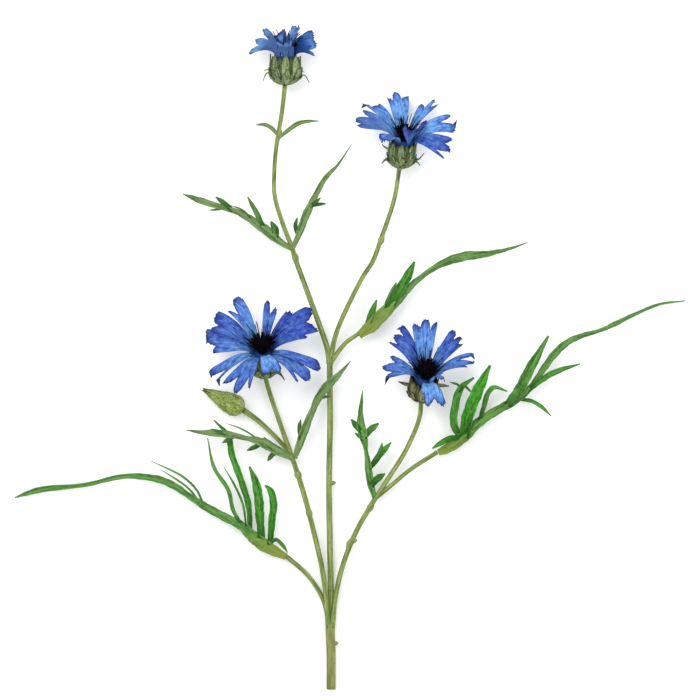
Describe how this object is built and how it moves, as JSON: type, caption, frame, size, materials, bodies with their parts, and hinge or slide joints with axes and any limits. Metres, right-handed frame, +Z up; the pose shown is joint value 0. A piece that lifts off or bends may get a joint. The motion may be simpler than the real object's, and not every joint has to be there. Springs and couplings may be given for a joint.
{
  "type": "cornflower spray",
  "caption": "Cut cornflower spray lying flat: a branching olive stem with blue blooms on scaly green heads, a closed bud and lobed narrow leaves.",
  "frame": {"origin": "centre of the bounding box's base, on the surface that the spray lies on", "axes": "+X across the spray to the right, +Y along the stem from its cut end towards the blooms, +Z up from the surface"},
  "size_m": [0.3026, 0.2983, 0.0309],
  "materials": {
    "stem": "satin olive green, with a thin plastic sheen",
    "leaf": "matt green cloth leaf, paler along the ribs",
    "head": "matt sage green scales",
    "petal": "matt blue cloth petal, lighter at the throat and darker at the edges",
    "tuft": "matt purple-black threads",
    "bud": "matt olive green scales"
  },
  "bodies": {
    "root": {"stem": "stem", "leaf_left_long": "leaf", "leaf_right_long": "leaf", "leaf_upper": "leaf", "leaf_top_left": "leaf", "leaf_top_right": "leaf", "leaf_mid_left": "leaf", "leaf_mid_right": "leaf", "leaf_lobed": "leaf", "small_leaf_left": "leaf", "small_leaf_right": "leaf", "first_head": "head", "first_petals": "petal", "first_tuft": "tuft", "second_head": "head", "second_petals": "petal", "second_tuft": "tuft", "third_head": "head", "third_petals": "petal", "third_tuft": "tuft", "fourth_head": "head", "fourth_petals": "petal", "fourth_tuft": "tuft", "bud": "bud"}
  },
  "joints": []
}
